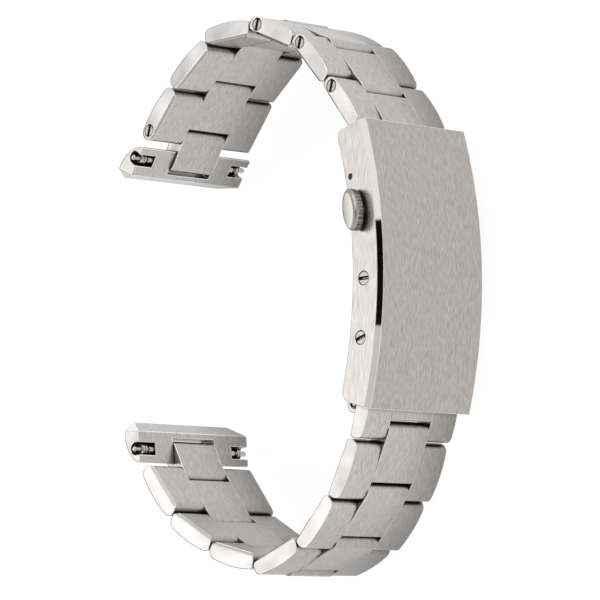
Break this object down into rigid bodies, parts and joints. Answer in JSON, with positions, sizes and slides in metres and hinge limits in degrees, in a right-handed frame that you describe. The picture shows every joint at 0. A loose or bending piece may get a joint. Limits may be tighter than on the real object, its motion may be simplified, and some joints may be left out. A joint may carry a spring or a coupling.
{
  "type": "link watch bracelet",
  "caption": "Three-row steel link watch bracelet with curved end links on spring bars and a folding clasp with side push buttons and a sliding length adjuster.",
  "frame": {"origin": "middle of the upper spring bar, on its axis", "axes": "+Z along the spring bars and all strap pins, towards the side with the upper half's screws; +Y from the lower end link to the upper one; +X from the watch to the clasp; the bracelet lies on its side"},
  "size_m": [0.0546, 0.0796, 0.0254],
  "materials": {
    "brushed_links": "brushed along the strap, polished flanks",
    "clasp_steel": "brushed along the strap, polished side bevels",
    "blade_steel": "fine satin",
    "button_steel": "polished dome and brushed rim",
    "pin_steel": "turned and polished"
  },
  "bodies": {
    "clasp_cover": {"clasp_cover": "clasp_steel", "cover_pins_and_screws": "pin_steel", "adjuster_rail": "blade_steel"},
    "middle_blade": {"middle_blade": "blade_steel", "knuckle_pin": "pin_steel"},
    "inner_blade": {"inner_blade": "blade_steel", "strap_pin": "pin_steel"},
    "release_button_left": {"release_button_left": "button_steel"},
    "release_button_right": {"release_button_right": "button_steel"},
    "adjuster": {"adjuster_slide": "blade_steel", "adjuster_pin": "pin_steel"},
    "upper_link_6": {"upper_link_6_sides": "brushed_links", "upper_link_6_centre": "brushed_links", "upper_link_6_pins": "pin_steel"},
    "upper_link_5": {"upper_link_5_sides": "brushed_links", "upper_link_5_centre": "brushed_links", "upper_link_5_pins": "pin_steel"},
    "upper_link_4": {"upper_link_4_sides": "brushed_links", "upper_link_4_centre": "brushed_links", "upper_link_4_pins": "pin_steel"},
    "upper_link_3": {"upper_link_3_sides": "brushed_links", "upper_link_3_centre": "brushed_links", "upper_link_3_pins": "pin_steel"},
    "upper_link_2": {"upper_link_2_sides": "brushed_links", "upper_link_2_centre": "brushed_links", "upper_link_2_pins": "pin_steel"},
    "upper_link_1": {"upper_link_1_sides": "brushed_links", "upper_link_1_centre": "brushed_links", "upper_link_1_pins": "pin_steel"},
    "upper_end_swivel": {"upper_end_swivel": "brushed_links"},
    "upper_end_link": {"upper_end_link": "brushed_links", "upper_spring_bar_barrel": "pin_steel"},
    "upper_tip_left": {"upper_spring_bar_tip_left": "pin_steel"},
    "upper_tip_right": {"upper_spring_bar_tip_right": "pin_steel"},
    "lower_link_7": {"lower_link_7_sides": "brushed_links", "lower_link_7_centre": "brushed_links", "lower_link_7_pins": "pin_steel"},
    "lower_link_6": {"lower_link_6_sides": "brushed_links", "lower_link_6_centre": "brushed_links", "lower_link_6_pins": "pin_steel"},
    "lower_link_5": {"lower_link_5_sides": "brushed_links", "lower_link_5_centre": "brushed_links", "lower_link_5_pins": "pin_steel"},
    "lower_link_4": {"lower_link_4_sides": "brushed_links", "lower_link_4_centre": "brushed_links", "lower_link_4_pins": "pin_steel"},
    "lower_link_3": {"lower_link_3_sides": "brushed_links", "lower_link_3_centre": "brushed_links", "lower_link_3_pins": "pin_steel"},
    "lower_link_2": {"lower_link_2_sides": "brushed_links", "lower_link_2_centre": "brushed_links", "lower_link_2_pins": "pin_steel"},
    "lower_link_1": {"lower_link_1_sides": "brushed_links", "lower_link_1_centre": "brushed_links", "lower_link_1_pins": "pin_steel"},
    "lower_end_swivel": {"lower_end_swivel": "brushed_links"},
    "lower_end_link": {"lower_end_link": "brushed_links", "lower_spring_bar_barrel": "pin_steel"},
    "lower_tip_left": {"lower_spring_bar_tip_left": "pin_steel"},
    "lower_tip_right": {"lower_spring_bar_tip_right": "pin_steel"}
  },
  "joints": [
    {"name": "clasp_fold", "type": "hinge", "parent": "clasp_cover", "child": "middle_blade", "pos_m": [0.04414, -0.00383, 0], "axis": [0, 0, 1], "range_deg": [-165, 0]},
    {"name": "inner_fold", "type": "hinge", "parent": "middle_blade", "child": "inner_blade", "pos_m": [0.04363, -0.03517, 0], "axis": [0, 0, 1], "range_deg": [0, 165]},
    {"name": "release_button_left_press", "type": "slide", "parent": "clasp_cover", "child": "release_button_left", "axis": [0, 0, 1], "range_m": [-0.00045, 0], "stiffness_N_per_m": 1000, "springref_m": 0.003},
    {"name": "release_button_right_press", "type": "slide", "parent": "clasp_cover", "child": "release_button_right", "axis": [0, 0, -1], "range_m": [-0.00045, 0], "stiffness_N_per_m": 1000, "springref_m": 0.003},
    {"name": "adjuster_slide_out", "type": "slide", "parent": "clasp_cover", "child": "adjuster", "axis": [-0.1236, -0.9923, 0], "range_m": [0, 0.006]},
    {"name": "upper_link_6_hinge", "type": "hinge", "parent": "inner_blade", "child": "upper_link_6", "pos_m": [0.04406, 0.00234, 0], "axis": [0, 0, 1], "range_deg": [-20.3, 17.7]},
    {"name": "upper_link_5_hinge", "type": "hinge", "parent": "upper_link_6", "child": "upper_link_5", "pos_m": [0.03809, 0.00921, 0], "axis": [0, 0, 1], "range_deg": [-9.4, 33.6]},
    {"name": "upper_link_4_hinge", "type": "hinge", "parent": "upper_link_5", "child": "upper_link_4", "pos_m": [0.03161, 0.0156, 0], "axis": [0, 0, 1], "range_deg": [-30.5, 12.5]},
    {"name": "upper_link_3_hinge", "type": "hinge", "parent": "upper_link_4", "child": "upper_link_3", "pos_m": [0.02301, 0.01858, 0], "axis": [0, 0, 1], "range_deg": [-30.7, 12.3]},
    {"name": "upper_link_2_hinge", "type": "hinge", "parent": "upper_link_3", "child": "upper_link_2", "pos_m": [0.01397, 0.01753, 0], "axis": [0, 0, 1], "range_deg": [-40.8, 2.2]},
    {"name": "upper_link_1_hinge", "type": "hinge", "parent": "upper_link_2", "child": "upper_link_1", "pos_m": [0.00725, 0.01139, 0], "axis": [0, 0, 1], "range_deg": [-17.3, 25.7]},
    {"name": "upper_swivel_hinge", "type": "hinge", "parent": "upper_link_1", "child": "upper_end_swivel", "pos_m": [0.00199, 0.00397, 0], "axis": [0, 0, 1], "range_deg": [-13.6, 11.4]},
    {"name": "upper_end_link_hinge", "type": "hinge", "parent": "upper_end_swivel", "child": "upper_end_link", "pos_m": [0, 0, 0], "axis": [0, 0, 1], "range_deg": [-22, 28]},
    {"name": "upper_tip_left_press", "type": "slide", "parent": "upper_end_link", "child": "upper_tip_left", "axis": [0, 0, 1], "range_m": [-0.00045, 0], "stiffness_N_per_m": 500, "springref_m": 0.004},
    {"name": "upper_tip_right_press", "type": "slide", "parent": "upper_end_link", "child": "upper_tip_right", "axis": [0, 0, -1], "range_m": [-0.00045, 0], "stiffness_N_per_m": 500, "springref_m": 0.004},
    {"name": "lower_link_7_hinge", "type": "hinge", "parent": "adjuster", "child": "lower_link_7", "pos_m": [0.04783, -0.02964, 0], "axis": [0, 0, 1], "range_deg": [-4.1, 3.9]},
    {"name": "lower_link_6_hinge", "type": "hinge", "parent": "lower_link_7", "child": "lower_link_6", "pos_m": [0.04609, -0.03857, 0], "axis": [0, 0, 1], "range_deg": [-27, 16]},
    {"name": "lower_link_5_hinge", "type": "hinge", "parent": "lower_link_6", "child": "lower_link_5", "pos_m": [0.04268, -0.04701, 0], "axis": [0, 0, 1], "range_deg": [-22.2, 20.8]},
    {"name": "lower_link_4_hinge", "type": "hinge", "parent": "lower_link_5", "child": "lower_link_4", "pos_m": [0.0371, -0.0542, 0], "axis": [0, 0, 1], "range_deg": [-13, 30]},
    {"name": "lower_link_3_hinge", "type": "hinge", "parent": "lower_link_4", "child": "lower_link_3", "pos_m": [0.02901, -0.05836, 0], "axis": [0, 0, 1], "range_deg": [-1.3, 41.7]},
    {"name": "lower_link_2_hinge", "type": "hinge", "parent": "lower_link_3", "child": "lower_link_2", "pos_m": [0.02003, -0.05686, 0], "axis": [0, 0, 1], "range_deg": [-23, 20]},
    {"name": "lower_link_1_hinge", "type": "hinge", "parent": "lower_link_2", "child": "lower_link_1", "pos_m": [0.01175, -0.05309, 0], "axis": [0, 0, 1], "range_deg": [-15.6, 27.4]},
    {"name": "lower_swivel_hinge", "type": "hinge", "parent": "lower_link_1", "child": "lower_end_swivel", "pos_m": [0.00554, -0.04644, 0], "axis": [0, 0, 1], "range_deg": [-8.7, 16.3]},
    {"name": "lower_end_link_hinge", "type": "hinge", "parent": "lower_end_swivel", "child": "lower_end_link", "pos_m": [0.0032, -0.04267, 0], "axis": [0, 0, 1], "range_deg": [-1.9, 48.1]},
    {"name": "lower_tip_left_press", "type": "slide", "parent": "lower_end_link", "child": "lower_tip_left", "axis": [0, 0, 1], "range_m": [-0.00045, 0], "stiffness_N_per_m": 500, "springref_m": 0.004},
    {"name": "lower_tip_right_press", "type": "slide", "parent": "lower_end_link", "child": "lower_tip_right", "axis": [0, 0, -1], "range_m": [-0.00045, 0], "stiffness_N_per_m": 500, "springref_m": 0.004}
  ],
  "couplings": [
    {"joint": "inner_fold", "follows": "clasp_fold", "ratio": -1}
  ]
}
